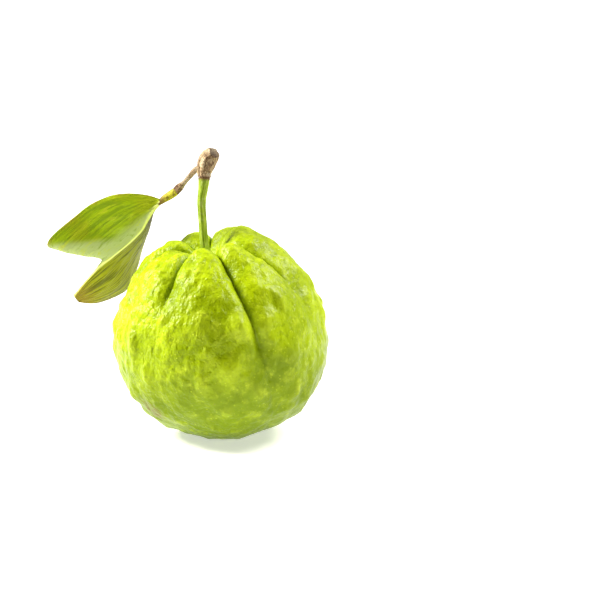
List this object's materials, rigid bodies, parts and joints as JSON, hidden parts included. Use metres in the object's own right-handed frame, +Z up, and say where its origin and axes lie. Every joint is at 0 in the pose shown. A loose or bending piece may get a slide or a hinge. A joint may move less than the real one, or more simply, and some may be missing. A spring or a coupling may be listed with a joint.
{
  "type": "guava",
  "caption": "Whole guava with a lobed, warty skin, carrying its stalk, a woody stub of branch, a thin twig and a folded leaf, resting on a small flat spot.",
  "frame": {"origin": "middle of the small flat spot that the fruit rests on", "axes": "+Z up, +X to the right of the front view, -Y towards the viewer"},
  "size_m": [0.1208, 0.1053, 0.1215],
  "materials": {
    "skin": "satin",
    "calyx": "matt",
    "stalk": "satin",
    "bark": "matt",
    "leaf": "satin"
  },
  "bodies": {
    "root": {"fruit": "skin", "calyx": "calyx", "stalk": "stalk", "branch": "bark", "leaf": "leaf"}
  },
  "joints": []
}
